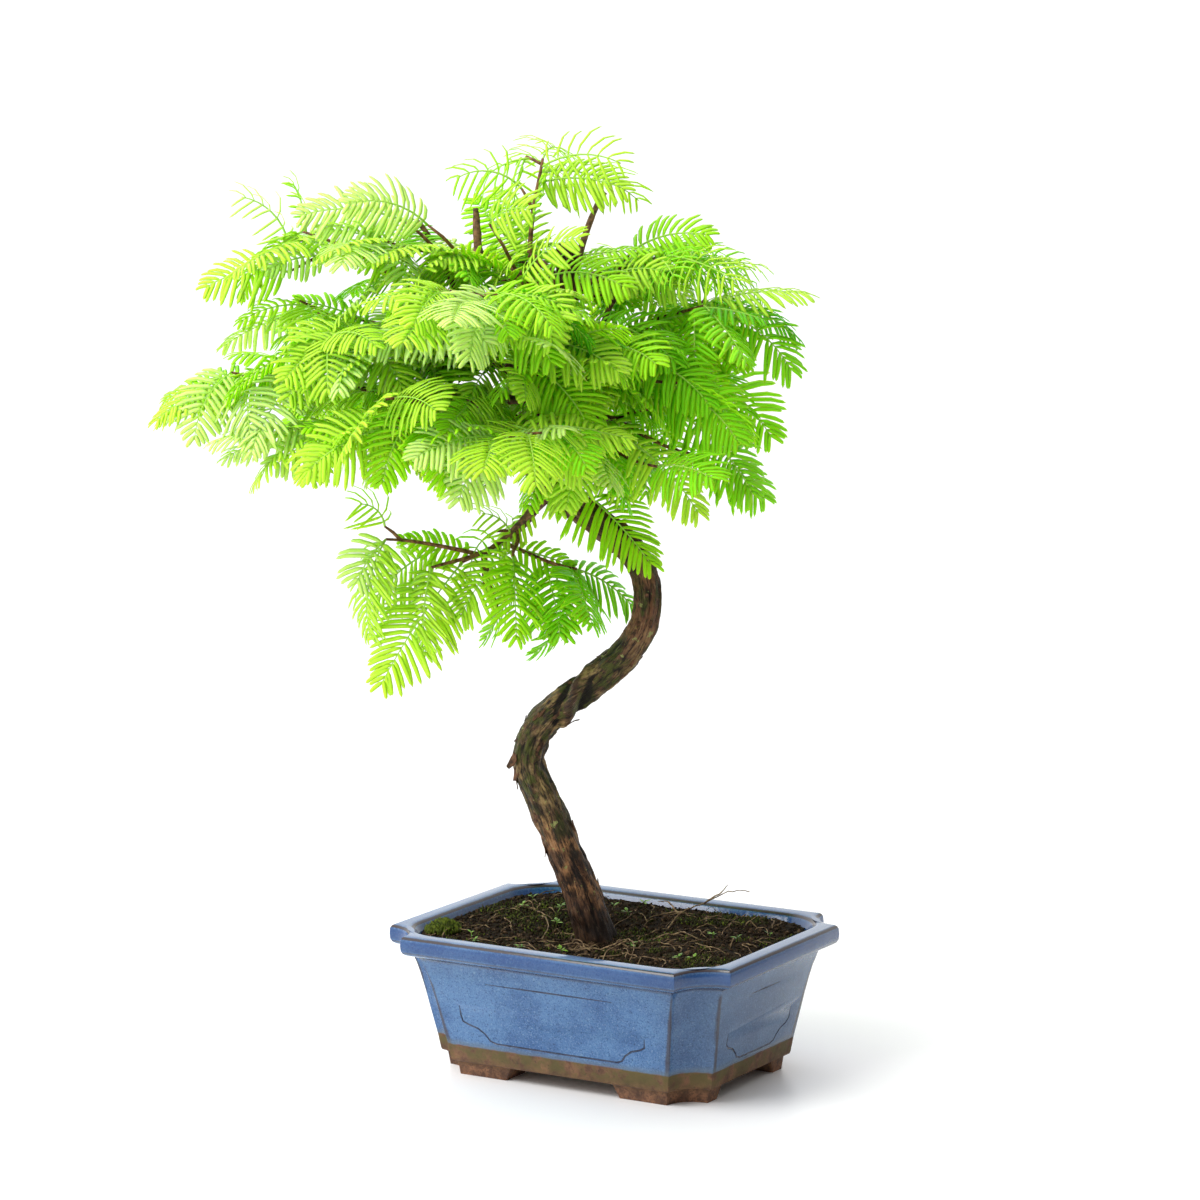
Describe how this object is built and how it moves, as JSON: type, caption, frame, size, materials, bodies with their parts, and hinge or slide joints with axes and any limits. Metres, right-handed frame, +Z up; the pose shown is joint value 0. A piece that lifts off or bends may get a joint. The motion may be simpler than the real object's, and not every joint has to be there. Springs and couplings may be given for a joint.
{
  "type": "potted bonsai tree",
  "caption": "Dawn redwood bonsai with an S-bent trunk, tiered level boughs of feathery needle sprays, and a low oblong blue glazed pot with hollow corners and short feet.",
  "frame": {"origin": "on the ground, at the centre of the underside of the box round the whole object", "axes": "+Z up along the tree; X along the pot's long side; -Y out of the long side that faces the viewer"},
  "size_m": [0.3008, 0.2789, 0.4686],
  "materials": {
    "glazed_pot": "speckled mid blue gloss glaze on the body and rim, bare brown clay below the glaze line and on the feet",
    "soil": "damp dark potting soil with moss and fine roots",
    "bark": "ridged and flaking brown bark",
    "needles": "soft bright yellow-green needles on fine brown twigs"
  },
  "bodies": {
    "root": {"back_bough": "bark", "back_left_bough": "bark", "back_left_mass": "needles", "back_mass": "needles", "far_left_mass": "needles", "front_bough": "bark", "front_left_bough": "bark", "front_left_mass": "needles", "front_mass": "needles", "front_right_bough": "bark", "front_right_mass": "needles", "heart_back_mass": "needles", "heart_front_mass": "needles", "heart_right_mass": "needles", "leader_twig": "bark", "left_back_bough": "bark", "left_back_mass": "needles", "left_bough": "bark", "left_low_back_bough": "bark", "left_low_back_mass": "needles", "left_low_bough": "bark", "left_low_mass": "needles", "left_middle_bough": "bark", "left_middle_mass": "needles", "left_top_stub": "bark", "low_back_mass": "needles", "low_bough": "bark", "low_front_mass": "needles", "low_hanging_mass": "needles", "low_left_mass": "needles", "low_middle_mass": "needles", "low_right_mass": "needles", "low_stub": "bark", "orange_twig": "bark", "pot": "glazed_pot", "right_back_bough": "bark", "right_back_mass": "needles", "right_bough": "bark", "right_front_bough": "bark", "right_front_mass": "needles", "right_low_bough": "bark", "right_low_mass": "needles", "right_mass": "needles", "right_stub": "bark", "soil": "soil", "top_bough": "bark", "top_left_bough": "bark", "top_left_mass": "needles", "top_mass": "needles", "top_right_bough": "bark", "top_right_mass": "needles", "trunk": "bark", "upper_back_bough": "bark", "upper_back_mass": "needles", "upper_front_bough": "bark", "upper_front_mass": "needles", "upper_left_bough": "bark", "upper_left_mass": "needles"}
  },
  "joints": []
}
